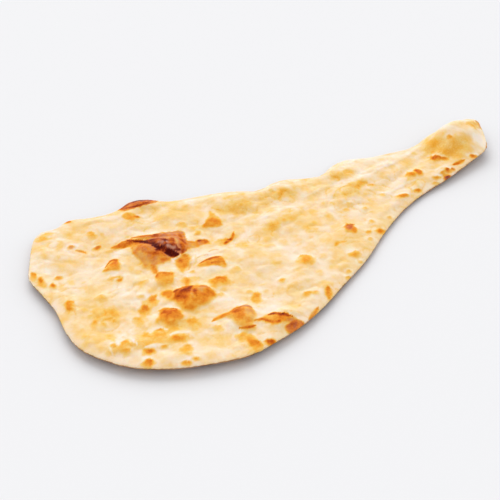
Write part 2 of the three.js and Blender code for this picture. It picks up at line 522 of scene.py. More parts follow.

# The collapsed bubble: its browned skirt, its torn flap, the burnt hollow and the charred crack,
# whose darkest bake is char deepened by painted shade under the lip, and the browned dough on
# its two sides.
RIDGE_MARKS = (
    Patch(((-139, 49), (-130, 50), (-122, 45), (-116, 37), (-114, 28), (-114, 20), (-119, 17),
        (-126, 16), (-130, 8), (-134.5, 5.5), (-137.5, 14), (-139, 26), (-140, 36)),
        0.38, 0.45, 6.5, 2.4, ash_and_sheen=0.26),
    Patch(((-133, 45), (-125, 43), (-119, 36), (-115, 27), (-114, 20), (-121, 18), (-128, 20),
        (-132, 30)), 0.43, 0.51, 5, 1.6, ash_and_sheen=0.24, sharp=3),
    Streak(((-129, 34.5), (-123, 30), (-118, 25)), 2.8, 0.62), Fleck(-120.5, 21, 2.8, 2.4, 0.56),
    Fleck(-127, 24.5, 2.6, 3.2, 0.48, ash_and_sheen=0.25),
    Streak(((-132.5, 19), (-132, 13), (-132.5, 7)), 2.2, 0.52),
    Patch(((-154, 52), (-147, 55), (-139, 57.5), (-131, 56), (-126, 50), (-133, 46), (-141, 46.5),
        (-149, 48.5)), 0.48, 0.58, 2.6, sharp=1.6),
    Fleck(-136.4, 52, 5, 2.4, 0.66, 10),
    Patch(((-134, 58), (-123, 57), (-116, 55), (-108, 54), (-102, 52.5), (-95, 50.5), (-94, 43),
        (-96, 33), (-101, 24), (-106, 21), (-110, 25), (-108, 34), (-111, 42), (-121, 49)),
        0.54, 0.56, 2.4, ash_and_sheen=0.4, sharp=1.6),
    Streak(((-134, 57.8), (-125, 56), (-116, 54)), 1, 0.6),
    # Painted highlight: a paler band under the lip's browned edge, where the lip catches the back
    # light.
    Streak(((-134, 55.6), (-126, 53.4), (-119, 50.6)), 1.4, 0.34),
    Fleck(-115, 52.5, 2.4, 1.8, 0.72),
    Patch(((-128, 50), (-119, 49), (-112, 47.5), (-107, 42), (-104.5, 34), (-105, 26), (-112, 30),
        (-115, 37), (-121, 41)), 0.85, 0.8, 2.2, 0.6, ash_and_sheen=0.06, sharp=0.8),
    Fleck(-105.7, 40.5, 2.2, 2.8, 0.72),
    Streak(((-102, 43), (-103, 37), (-104.3, 30)), 1.3, 0.38, ash_and_sheen=0.4),
    # Painted sheen: pale ashen flecks on the flap, for the glints off its satin skin and its grey
    # bloom.
    Fleck(-112.6, 42, 3, 1.2, 0.7, -35, ragged=0.8, ash_and_sheen=0.7),
    Fleck(-109.8, 39.8, 1.4, 1.5, 0.6, ragged=0.8, ash_and_sheen=1),
    Fleck(-110, 35.5, 0.9, 2.4, 0.7, 10, ragged=0.8, ash_and_sheen=0.9),
    Fleck(-107.5, 32.6, 1.3, 2, 0.7, -10, ragged=0.8, ash_and_sheen=0.9),
    # The charred crack and hollow under the flap's lip: char, made darker still as painted shade.
    Streak(((-137, 55.5), (-130, 50.5), (-125, 46.5), (-119, 41)), 1.9, 0.96, taper=0.5),
    Patch(((-122, 42), (-117, 38.4), (-114.4, 37.6), (-111.8, 33), (-107.4, 23.6), (-108.6, 20.4),
        (-114, 20), (-117.4, 28), (-120, 35.5)), 0.96, 1.02, 1.4, 0.5, sharp=1),
    Fleck(-119.3, 33, 3.2, 1.6, 0.8, -60),
    Patch(((-99, 36), (-94, 35), (-90, 32), (-86, 33), (-82.5, 32), (-82, 27), (-86, 25.5),
        (-92, 24), (-98, 25), (-101, 29)), 0.43, 0.48, 3, ash_and_sheen=0.3),
    Streak(((-97.5, 46), (-99, 38), (-100.5, 31), (-104.5, 23)), 2.3, 0.64, taper=0.4),
    Streak(((-95, 34), (-92, 32), (-89, 30)), 1.2, 0.54), Spot(-87, 31.5, 2.2, 1.5, 0.72, 0, 0),
    Spot(-82.8, 28.6, 2, 3, 0.62, 0, 0),
    Spot(-84.7, 41, 2.6, 1.4, 0.38, 0, 0.3, spill=0.1, ash_and_sheen=0.35),
    Patch(((-115, 14), (-110, 17), (-105, 19.5), (-100.5, 18.5), (-101, 13), (-105, 8), (-109, 3),
        (-113.5, 0), (-115.5, 4), (-116, 9)), 0.38, 0.48, 4.2, sharp=4.2),
    Fleck(-110, 12.5, 3.4, 4.2, 0.53), Fleck(-104.5, 18, 2.4, 2, 0.5),
    Streak(((-97, 16), (-99, 9), (-103, 4)), 1.2, 0.24),
    Streak(((-97, 11.5), (-92.5, 13.2), (-87.6, 12)), 0.9, 0.25, -0.4, 2, 2, ash_and_sheen=0.3),
    Streak(((-86, 15.2), (-82, 16), (-77.5, 14.3)), 1.1, 0.25, -0.4, 2, 2, ash_and_sheen=0.3),
    Streak(((-108.5, 1), (-106, 4.5), (-103.5, 8)), 1, 0.26, -0.3, 2, 2, ash_and_sheen=0.2),
)

# The two large brown blisters on the serving side of it.
BROWN_BLISTER_MARKS = (
    Patch(((-139, -17), (-132, -14.5), (-128, -19), (-128, -26), (-132.5, -29), (-137, -22)),
        0.42, 0.44, 4, 1, 0.6, sharp=4),
    Spot(-110.5, -12, 4.4, 4.4, 0.27, 0, 0),
    Streak(((-113.5, -8), (-115, -12.5), (-117.5, -18)), 2.4, 0.4),
    Patch(((-128, -19), (-120.5, -17.5), (-111.5, -17), (-106, -20), (-102, -25), (-100, -32),
        (-103, -38), (-110, -41), (-117, -43), (-124, -45), (-129, -41), (-131, -34), (-130, -26)),
        0.44, 0.48, 8, 1.4, 1.4, sharp=3.5),
    Patch(((-127, -17), (-120, -18), (-113, -18.5), (-116.5, -26), (-120, -30), (-125, -31),
        (-131, -31.5), (-129, -23)), 0.6, 0.68, 4, sharp=1.4),
    Streak(((-128, -19), (-121, -18.2), (-113, -18.5)), 1.4, 0.74),
    Fleck(-127.5, -27, 3.4, 3, 0.64),
    Streak(((-114.5, -21), (-115.8, -26.5), (-117.3, -31)), 1.5, 0.48, ash_and_sheen=0.2),
    Streak(((-110, -21.5), (-113, -24), (-114.4, -30)), 1.6, 0.68),
    Fleck(-107.5, -24, 3, 2.6, 0.4, ash_and_sheen=0.3),
    Streak(((-108, -20.6), (-105, -22.4), (-102, -26)), 1, 0.52, ash_and_sheen=0.3),
    Streak(((-127, -39), (-119, -40), (-110, -36)), 2.4, 0.48),
    Patch(((-145, -34), (-139, -34), (-132.5, -39), (-131, -47.5), (-136, -51.5), (-144.5, -53),
        (-150.5, -47), (-148, -40)), 0.42, 0.5, 5, 1.2, 1.2, sharp=2.4),
    Fleck(-142, -41, 4.5, 4.5, 0.56, -20), Fleck(-135.8, -37.6, 3, 1.2, 0.66, -30),
    Streak(((-147, -35), (-141, -35), (-134, -38)), 1.2, 0.54),
    Streak(((-147, -48.5), (-141.5, -49), (-137, -48)), 1.4, 0.52), Spot(-150, -46, 2, 3, 0.32),
)

# The smaller blisters all over the broad end.
BROAD_END_SPOTS = (
    Spot(-199, 87, 4.4, 3, 0.4, 10), Spot(-193, 90, 5, 1.8, 0.3), Spot(-162, 75, 3, 4.4, 0.36),
    Spot(-181, 66, 2.6, 2, 0.52, 20, ash_and_sheen=0.35), Spot(-163.5, 56.5, 2.6, 2, 0.54, 30, ash_and_sheen=0.15),
    Spot(-174, 100, 3, 1.2, 0.66), Spot(-217, 42, 2, 5, 0.44), Spot(-213.5, 34, 2.2, 6, 0.41),
    Spot(-201, 32.4, 2.4, 1.8, 0.45, spill=0.1, ash_and_sheen=0.1),
    Spot(-206.5, 25, 2, 2.8, 0.48, spill=0.15), Spot(-201.5, -1, 4.8, 2.4, 0.44, 72),
    Spot(-203.5, -5, 2.2, 2.2, 0.54),
    Patch(((-167, 28), (-161, 33), (-157, 37), (-152.5, 35), (-153.5, 27), (-156, 22),
        (-162, 24.5), (-168, 26)), 0.42, 0.52, 3, 0.8, 1, sharp=3),
    Streak(((-165, 30), (-158.5, 36.4), (-153, 35.4)), 1.1, 0.66),
    Spot(-162.3, 13.2, 4.2, 3.8, 0.4, spill=0), Fleck(-162, 13.6, 1.6, 1.4, 0.24),
    Fleck(-160.4, 10.8, 1.8, 1.2, 0.5), Spot(-145, 0.5, 3.6, 2.4, 0.26),
    Patch(((-130, 7), (-125, 5), (-120.5, 2.5), (-121, -5), (-125, -9.5), (-131.5, -9.5),
        (-136.5, -5.5), (-135.5, 1.5)), 0.3, 0.5, 5, 1, 0.9, sharp=2.4),
    Streak(((-134, 3), (-130, 6.4), (-125, 4.6), (-121, 1.4)), 1.3, 0.6),
    Patch(((-101, 2.5), (-96, 5.5), (-91, 7), (-85, 7.5), (-81, 7), (-78.5, 4.5), (-78.5, -1),
        (-80.5, -7), (-83, -8), (-86, -4.5), (-90, -2), (-96, -1)), 0.42, 0.5, 1.8, 0.6, 0.6),
    Streak(((-98, 4.5), (-91, 6.4), (-85, 7), (-80, 6)), 1.1, 0.64),
    Streak(((-90, 2), (-84, 0.5), (-79, -1)), 1.3, 0.58),
    Spot(-81.5, -4.5, 1.8, 3.2, 0.42, 0, 0, spill=0.1), Spot(-107, -3.6, 2.4, 1.7, 0.3),
    Spot(-115, -11, 3, 4, 0.28), Spot(-91.5, -22, 5.6, 4.6, 0.5, 0, 1),
    Spot(-76, -14, 3, 2.8, 0.27), Spot(-155.4, -29.5, 6.4, 3, 0.46, 65, 0.2),
    Spot(-147, -22, 5.5, 3.4, 0.46, 65, 0.2), Spot(-152, -14.5, 2.4, 2, 0.26),
    Spot(-192.5, -28.5, 2, 4, 0.34, -30), Streak(((-191, -14), (-187, -19), (-182, -25)), 2, 0.27),
    Spot(-182, -28, 2.2, 1.4, 0.36, 0, 0), Spot(-186.8, -32.5, 1.8, 2.6, 0.3),
    Spot(-178.5, -3, 2.6, 4, 0.28), Spot(-195, -11.5, 3, 1.6, 0.2),
    Streak(((-188, -44), (-186, -48), (-184.5, -54)), 3, 0.26), Spot(-164, -39, 2.5, 4.5, 0.3),
    Spot(-186, -56, 1.5, 1.5, 0.42), Spot(-180, -60, 7, 3.4, 0.34, 65),
    Fleck(-179.5, -56, 1.8, 1.6, 0.42), Fleck(-181, -64, 2.6, 1.8, 0.42),
    Fleck(-187, -55, 1.6, 1.4, 0.36), Spot(-163, -55.5, 2.6, 2.4, 0.36),
    Spot(-155, -58, 5.4, 4, 0.36), Spot(-152.5, -54.6, 3, 1.2, 0.44, -20, 0),
    Spot(-129.5, -57.5, 4.4, 5, 0.34), Spot(-142.5, -68, 5.4, 2.8, 0.4, -25),
    Spot(-156, -72, 2, 1.8, 0.4), Spot(-167, -72, 4.4, 2.6, 0.54, 0),
    Spot(-171.3, -82, 4.2, 3, 0.52, 65), Spot(-142, -80, 4.4, 3, 0.36, 65),
    Spot(-147.5, -93.6, 3, 2.2, 0.46, -25), Spot(-140, -92.5, 2.3, 2.3, 0.38),
    Spot(-115, -70.6, 2.6, 2.6, 0.3),
    Streak(((-179, 60.5), (-175.5, 57.5), (-172.5, 53)), 1.3, 0.48, ash_and_sheen=0.3),
)

# The blisters and lips along the near edge.
NEAR_EDGE_MARKS = (
    Patch(((-109, -59.5), (-103, -57.5), (-98.5, -57), (-91, -54.5), (-86, -56), (-83, -61),
        (-84, -67), (-88, -74), (-91, -80.5), (-96.5, -80.5), (-100.5, -74.5), (-102, -66.5),
        (-105, -62)), 0.37, 0.46, 6, 1.2, 1.2, ash_and_sheen=0.08, sharp=3),
    Fleck(-94, -61.5, 5.5, 6.5, 0.56, -10), Fleck(-87, -63.5, 2.8, 6, 0.38, ash_and_sheen=0.3),
    Streak(((-104, -58.6), (-99, -57.4), (-94.5, -56), (-90, -55)), 1.5, 0.64),
    Streak(((-90, -55), (-86, -56), (-83.4, -60)), 1.1, 0.58, ash_and_sheen=0.75),
    Streak(((-117, -62), (-111, -60), (-103, -58.6), (-98, -59)), 1.9, 0.54, taper=0.85),
    Streak(((-102, -76), (-95.5, -77.4), (-88.5, -78)), 1.5, 0.66, taper=0.85),
    Patch(((-103, -81), (-96, -83), (-94.5, -92), (-97, -101), (-101, -98), (-103, -89)),
        0.46, 0.34, 4),
    Spot(-104, -86, 3, 3, 0.4), Spot(-97, -97, 3, 5, 0.48, 0, 0),
    Patch(((-81, -73), (-76, -70.5), (-70, -71.5), (-65, -75), (-61, -80), (-59, -86), (-65, -86),
        (-71, -82), (-76, -78)), 0.36, 0.44, 2.4),
    Streak(((-76, -71.5), (-70.4, -72), (-66, -75.6), (-60.7, -80.5)), 1.5, 0.82),
    Fleck(-66.8, -75, 3.4, 1.4, 0.84, -25),
    Streak(((-88, -73), (-82, -74), (-78, -78.5), (-73, -81)), 1.9, 0.6),
    Fleck(-74.6, -81, 2.8, 1.7, 0.56), Fleck(-63.7, -83.4, 3, 1.6, 0.48, -20, ash_and_sheen=0.45),
    Patch(((-71, -88), (-66, -85.5), (-60, -85), (-57, -90), (-58.5, -95), (-64.5, -96),
        (-71, -97), (-73, -93)), 0.58, 0.64, 2.6, 0.8, 0.8, ash_and_sheen=0.15),
    Spot(-88, -100, 2.6, 4, 0.58), Spot(-75.5, -50.5, 5.4, 2.6, 0.47, 65),
    Spot(-50, -41, 3.2, 1.6, 0.4, 25), Spot(-98, -37, 2, 2, 0.32), Spot(-78, -43, 2, 2, 0.32),
    Spot(-40, -63, 3.5, 2, 0.42, 20), Spot(-34, -64, 2.5, 2, 0.4),
    Streak(((-22, -62), (-25, -68), (-28, -75)), 3.2, 0.47),
    Streak(((-40, -80), (-46, -85), (-52, -89)), 2.1, 0.5, ash_and_sheen=0.2), Spot(-3, -60, 2, 1.6, 0.42),
)

# The scattered spots in the middle of the bread.
MIDDLE_MARKS = (
    Patch(((-63, 66), (-68, 59), (-77, 48), (-71, 44), (-65, 42), (-60, 50)),
        0.49, 0.44, 2.6, 1, 0.5, sharp=2.6),
    Spot(-74, 48, 2.4, 1.8, 0.5, 0, 0), Spot(-64, 45, 2.4, 2, 0.5, 0, 0),
    Streak(((-60, 70), (-55, 63)), 1, 0.34), Spot(-69.5, 22.5, 4.2, 3.6, 0.38),
    Streak(((-70, 19.4), (-65, 22), (-61, 25), (-57.5, 31)), 1.8, 0.54),
    Fleck(-68.6, 20.3, 1.8, 1.3, 0.7, 30), Fleck(-64.6, 22.3, 1.5, 1.2, 0.66),
    Spot(-84, 42, 2, 2, 0.34), Spot(-91, 58, 3, 3, 0.28), Spot(-21, -25, 4.5, 5.5, 0.44, -30, 1),
    Spot(-13, 79, 4, 1, 0.5), Spot(29.5, -2.5, 3.3, 4.8, 0.6, 0, 0.6, ash_and_sheen=0.3),
    Spot(31.5, -7.5, 1.9, 3.8, 0.48, -40, spill=0.1),
    Streak(((7, -20), (12, -17), (18, -18)), 2.2, 0.35), Spot(17, -36, 4.5, 3, 0.38, 0, 0.8),
    Spot(41, -15, 2.5, 2, 0.42), Spot(50, -18, 3, 3, 0.5), Spot(37, -24, 1.6, 1.6, 0.34),
    Spot(15, -47, 1.6, 1.6, 0.32), Spot(67, -5, 1.6, 1.6, 0.34), Spot(1, -53, 1.6, 1.6, 0.32),
    Spot(51, -4, 2, 2.6, 0.34), Spot(46, 27, 2, 2, 0.3), Spot(40, 20, 2, 2, 0.3),
    Spot(55, 15, 2, 2, 0.3), Spot(78, 43, 2, 2, 0.3), Spot(79, 26, 2.4, 2.4, 0.3),
)

# The spots along the handle and on the puffed tip.
HANDLE_MARKS = (
    Spot(94, 18, 4, 2.4, 0.52), Spot(109.7, 20, 2.4, 2.2, 0.48), Spot(118, 43.5, 3.8, 3.4, 0.46),
    Spot(124.8, 43.5, 3, 4.6, 0.54), Spot(151, 56.8, 4.6, 3.7, 0.66, -28, 0.3, spill=0),
    Fleck(155.5, 54, 5, 2.4, 0.52, -28), Spot(129.5, 22.5, 2.4, 2, 0.36),
    Spot(135.2, 29.3, 3, 2.5, 0.42), Spot(144, 34, 2.6, 2, 0.56, 30),
    Spot(148, 33.5, 3.4, 3.4, 0.38, 0, 0, ash_and_sheen=0.1), Spot(150.5, 37, 2.2, 2.6, 0.62),
    Spot(144.5, 28.6, 3, 2.4, 0.4), Spot(155.5, 34.6, 1.4, 2.8, 0.56, ash_and_sheen=0.3),
    Fleck(144.4, 25.6, 4, 1.7, 0.8, 25, ash_and_sheen=0.2),
    Streak(((159, 41), (166, 42), (173, 44)), 2.7, 0.56), Spot(183.3, 45.2, 2.8, 2.8, 0.56),
    Fleck(177.5, 80, 4.4, 2, 0.38, 65, ragged=0.2),
    Spot(214, 92, 6, 5.4, 0.34, 0, 0, edge=0.9, ash_and_sheen=0.15),
    Streak(((222, 97), (221, 90), (218, 80)), 2.6, 0.36, ash_and_sheen=0.5),
    Streak(((202, 52), (206, 56), (209, 61)), 1.4, 0.52, ash_and_sheen=0.5),
)

# The browned curl of the far edge, and the golden blister in front of it.
FAR_CURL_MARKS = (
    Patch(((-132, 99), (-124, 104), (-112, 107), (-101, 106.5), (-88, 101), (-99, 97), (-112, 96),
        (-124, 95)), 0.6, 0.64, 1.8, ash_and_sheen=0.2),
    Streak(((-124, 103), (-113.5, 105.2), (-105.5, 103.4), (-97, 101)), 1.3, 0.82, ash_and_sheen=0.3),
    Streak(((-124, 98.6), (-116, 98), (-108.5, 98.4), (-102.5, 99.4)), 1.4, 0.8, taper=0.4),
    Streak(((-103, 99.5), (-97.5, 97.4)), 1.3, 0.52, ash_and_sheen=0.3),
    Patch(((-132, 89), (-126, 93), (-122.5, 91.5), (-120, 87.5), (-119, 82), (-124, 80),
        (-129.5, 84)), 0.43, 0.38, 2.4, 1, 0.5, sharp=3.6),
    Fleck(-120.5, 83, 2.6, 1.4, 0.5, -20),
)

# Broad tones of the crust where it hasn't blistered. The gold is partly browning and partly
# painted shade on slopes that face the serving side, away from the back light, as on the
# puffed tip; the white is painted highlight on the tops of the thin floury puffs and on the far
# rim, which face the back light.
BLUSHES_AND_PAINTED_LIGHT = (
    Spot(-40, 63, 22, 10, 0.14, 12), Spot(-42, 51, 8, 4, 0.1), Spot(3, 63, 16, 8, 0.14),
    Spot(60, 69, 15, 7, 0.1), Spot(60, 46, 20, 9, 0.14, 20), Spot(69, 48, 8, 4, 0.14, 30),
    Spot(-5, 31, 18, 7, 0.13), Spot(-28, 24, 8, 6, 0.15), Spot(-59, 12.5, 6, 6, 0.17),
    Spot(170, 69, 24, 20, 0.18, ragged=0.1), Spot(170, 56, 14, 8, 0.07, 30, ragged=0.1),
    Spot(160, 80, 6, 8, 0.08, ragged=0.1), Spot(-155, -63, 27, 11, 0.15, ragged=0.2),
    Spot(-143, -52, 14, 8, 0.08), Spot(-125, -50, 8, 6, 0.06), Spot(-124, 68, 14, 6, 0.08),
    Spot(-122, -80, 20, 10, 0.11, ragged=0.1), Spot(198, 60, 10, 16, -0.08, ragged=0.1),
    Spot(-184, -18, 14, 10, 0.1, -30), Spot(-178, -26, 12, 8, 0.07), Spot(-202, -41, 8, 9, 0.07),
    Spot(-175, 84, 14, 8, 0.08), Spot(-150, 84, 20, 7, 0.06), Spot(-150, -60, 30, 10, 0.08),
    Spot(-190, -45, 10, 18, 0.06), Spot(-60, -30, 26, 14, 0.04), Spot(20, 10, 40, 14, 0.05, 20),
    Spot(-85, 75, 26, 6, 0.07), Spot(110, 60, 30, 6, 0.07, 10), Spot(-190, 40, 10, 20, 0.04),
    Spot(-4, -43, 10, 6, 0.08), Spot(90, 5, 14, 6, 0.06), Spot(-115, -52, 12, 7, 0.08),
    Spot(-213, 38, 10, 30, -0.11), Spot(-188.5, 71, 9, 2.6, 0.1, 65), Spot(-93, -8, 17, 7, -0.14),
    Spot(-91, 41, 7, 6, -0.12), Spot(-156, -4, 5, 4, 0.08), Spot(-88, 14, 18, 3.5, -0.12),
    Spot(-124, 13, 9, 5, -0.1), Spot(-158, -12, 14, 16, -0.08), Spot(-150, 8, 12, 9, -0.08),
    Spot(-106, -74, 10, 7, -0.08), Spot(-82, -97, 8, 5, -0.1), Spot(-30, -2, 14, 7, -0.07),
    Spot(-45, -60, 14, 10, -0.06), Spot(14, -27, 7, 6, -0.08), Spot(86, 62, 14, 8, -0.08),
    Spot(185, 104, 34, 9, -0.12, 8), Spot(205, 66, 9, 18, -0.12), Spot(25, 25, 14, 6, -0.06),
    Spot(-120, -88, 20, 8, 0.03), Spot(-60, 85, 20, 6, -0.06),
)

# All marks in the order in which they lie over one another.
MARKS = (
    *FLOUR_AND_HIGHLIGHT_CRESTS, *RIDGE_MARKS, *BROAD_END_SPOTS, *BROWN_BLISTER_MARKS, *NEAR_EDGE_MARKS,
    *MIDDLE_MARKS, *HANDLE_MARKS, *FAR_CURL_MARKS,
)


class SkinValue(Enum):
    """What each point of the crust remembers for its finish."""

    BAKE = "bake"
    # Ashen bloom on burnt skin, and painted sheen on the torn flap.
    ASH_AND_SHEEN = "ash_and_sheen"
    UNDER = "under"


@dataclass
class BubbleField:
    """Hundreds of small bubbles scattered over the top, some of them a little golden.

    small_bias makes the small ones commoner, stretches says how far they are drawn out, and
    height_share is a bubble's height over its half size, in millimetres.
    """

    count: int = 1000
    smallest: float = 2.0
    largest: float = 6.5
    small_bias: float = 2.2
    stretches: Bounds = (0.65, 1.5)
    height_share: float = 0.12
    dome: float = 1.1
    golden: float = 0.1
    golden_share: float = 0.3
    seed: int = 11

    def raised(self, places: Array) -> tuple[Array, Array]:
        """Gives the bubbles' height and their golden bake at each place.

        Args:
            places: x and y of each place in millimetres.

        Returns:
            The height in millimetres, the tallest bubble winning where some overlap, and the
            bake that the bubbles add.
        """
        rng = np.random.default_rng(self.seed)
        low, high = places.min(axis=0), places.max(axis=0)
        middles = rng.uniform(low, high, (self.count, 2))
        shares = rng.random(self.count) ** self.small_bias
        sizes = self.smallest + (self.largest - self.smallest) * shares
        stretch = rng.uniform(*self.stretches, self.count)
        bakes = self.golden * (rng.random(self.count) < self.golden_share)
        height = np.zeros(len(places))
        bake = np.zeros(len(places))
        for (x, y), size, length, gold in zip(middles, sizes, stretch, bakes):
            near = np.flatnonzero(np.abs(places[:, 0] - x) < size * length)
            u = (places[near, 0] - x) / (size * length)
            v = (places[near, 1] - y) / (size / length)
            dome = np.clip(1.0 - u ** 2 - v ** 2, 0.0, 1.0)
            height[near] = np.maximum(height[near], size * self.height_share * dome ** self.dome)
            bake[near] = np.maximum(bake[near], gold * dome)
        return height, bake


@dataclass(frozen=True)
class CrustFinish:
    """Baked wheat crust: matt, floury and cream, with satin where sugar and flour have browned.

    The light goes a little way into the pale crumb, which warms its shaded sides. stops give
    the colour at each bake, from raw flour to charcoal. ash_and_sheen is the grey of the ashen
    bloom on burnt skin and of the painted sheen on the torn flap, butter is the yellow cast of
    the fat in the dough, and the under colours are those of the underside and of its freckles.
    """

    stops: tuple[tuple[float, str], ...] = (
        (0.0, "#f6e6d2"), (0.13, "#f2d7b3"), (0.25, "#f1cb80"), (0.36, "#efb44c"),
        (0.47, "#e8942c"), (0.6, "#d4701c"), (0.72, "#b04c14"), (0.85, "#7c260c"),
        (0.97, "#520d05"),
    )
    # Pinkish grey of the ashen bloom and of the painted sheen.
    ash_and_sheen: str = "#c39484"
    butter: str = "#fff4d0"
    under_pale: str = "#c08d57"
    under_brown: str = "#6b3516"
    # Each unevenness, with its size in millimetres and its detail.
    patterns: tuple[tuple[str, float, float], ...] = (
        ("mottle", 10.0, 4.0), ("fat", 20.0, 3.0), ("crinkle", 4.5, 4.0),
        ("speckle", 1.6, 3.0), ("pores", 0.9, 2.0),
    )
    # Each value made from another one: where that starts and ends, and what it becomes there.
    ranges: tuple[tuple[str, str, float, float, float, float], ...] = (
        ("broad", "mottle", 0.32, 0.68, -0.06, 0.06),
        ("fine", "speckle", 0.25, 0.75, 0.87, 1.13),
        ("yellow", "fat", 0.4, 0.62, 0.0, 1.0),
        ("freckles", "mottle", 0.35, 0.62, 0.0, 1.0),
        ("freckle grain", "speckle", 0.3, 0.7, 0.75, 1.2),
        ("roughness", "bake", 0.3, 0.8, 0.7, 0.58),
    )
    # Each bump: the unevenness that it follows, its strength and its depth in millimetres.
    bumps: tuple[tuple[str, float, float], ...] = (
        ("crinkle", 0.4, 1.4), ("speckle", 0.3, 0.5), ("pores", 0.2, 0.3),
    )

    def material(self) -> bpy.types.Material:
        """Builds the crust's material.

        Returns:
            A material that reads the crust's own bake values and Object coordinates.
        """
        material = bpy.data.materials.new("baked_wheat_crust")
        material.use_nodes = True
        tree = material.node_tree
        tree.nodes.clear()
        sockets = self._values(tree)
        inputs = {
            "Base Color": self._colour(tree, sockets),
            "Roughness": sockets["roughness"],
            "Normal": self._normal(tree, sockets),
            "IOR": 1.4,
            "Subsurface Weight": 0.35,
            "Subsurface Radius": (1.0, 0.55, 0.25),
            "Subsurface Scale": 0.003,
            "Specular IOR Level": 0.07,
        }
        shader = add_node(tree, "ShaderNodeBsdfPrincipled", inputs)
        add_node(tree, "ShaderNodeOutputMaterial", {"Surface": shader.outputs["BSDF"]})
        return material

    def _values(self, tree: Tree) -> dict[str, Socket]:
        """Adds what the crust remembers, its unevenness, and the values made from these.

        Args:
            tree: The material's nodes.

        Returns:
            Each of them by its name.
        """
        place = add_node(tree, "ShaderNodeTexCoord").outputs["Object"]
        sockets = {}
        for value in SkinValue:
            memory = add_node(tree, "ShaderNodeAttribute", attribute_name=value.value)
            sockets[value.value] = memory.outputs["Fac"]
        for name, size, detail in self.patterns:
            inputs = {"Vector": place, "Scale": 1.0 / (size * MM), "Detail": detail}
            pattern = add_node(tree, "ShaderNodeTexNoise", {**inputs, "Roughness": 0.55})
            sockets[name] = pattern.outputs["Fac"]
        for name, source, *ends in self.ranges:
            inputs = dict(zip(("From Min", "From Max", "To Min", "To Max"), ends))
            made = add_node(tree, "ShaderNodeMapRange", {"Value": sockets[source], **inputs})
            sockets[name] = made.outputs["Result"]
        return sockets

    def _colour(self, tree: Tree, sockets: dict[str, Socket]) -> Socket:
        """Colours the top by its bake, and the underside, which browned on the oven's wall.

        Args:
            tree: The material's nodes.
            sockets: The crust's values by name.

        Returns:
            The colour's socket.
        """
        inputs = {0: sockets["bake"], 1: sockets["fine"], 2: sockets["broad"]}
        bake = add_node(tree, "ShaderNodeMath", inputs, operation="MULTIPLY_ADD").outputs[0]
        ramp = add_node(tree, "ShaderNodeValToRGB", {"Fac": bake})
        elements = ramp.color_ramp.elements
        for element, (position, colour) in zip(elements, (self.stops[0], self.stops[-1])):
            element.position, element.color = position, linear(colour)
        for position, colour in self.stops[1:-1]:
            elements.new(position).color = linear(colour)
        inputs = {0: sockets["freckles"], 1: sockets["freckle grain"]}
        brown = add_node(tree, "ShaderNodeMath", inputs, operation="MULTIPLY").outputs[0]
        inputs = {0: brown, 6: linear(self.under_pale), 7: linear(self.under_brown)}
        underside = add_node(tree, "ShaderNodeMix", inputs, data_type="RGBA").outputs[2]
        colour = ramp.outputs["Color"]
        # Over the bake go the ashen bloom with its painted sheen, the fat's yellow, and the
        # underside.
        for share, over, way in (
            (sockets["ash_and_sheen"], linear(self.ash_and_sheen), "MIX"),
            (sockets["yellow"], linear(self.butter), "MULTIPLY"),
            (sockets["under"], underside, "MIX"),
        ):
            inputs = {0: share, 6: colour, 7: over}
            mix = add_node(tree, "ShaderNodeMix", inputs, data_type="RGBA", blend_type=way)
            colour = mix.outputs[2]
        return colour

    def _normal(self, tree: Tree, sockets: dict[str, Socket]) -> Socket:
        """Adds the crinkles, the floury grain and the fine pores as bump.

        Args:
            tree: The material's nodes.
            sockets: The crust's values by name.

        Returns:
            The normal's socket.
        """
        normal = None
        for name, strength, depth in self.bumps:
            inputs = {"Strength": strength, "Distance": depth * MM, "Height": sockets[name]}
            if normal:
                inputs["Normal"] = normal
            normal = add_node(tree, "ShaderNodeBump", inputs).outputs["Normal"]
        return normal


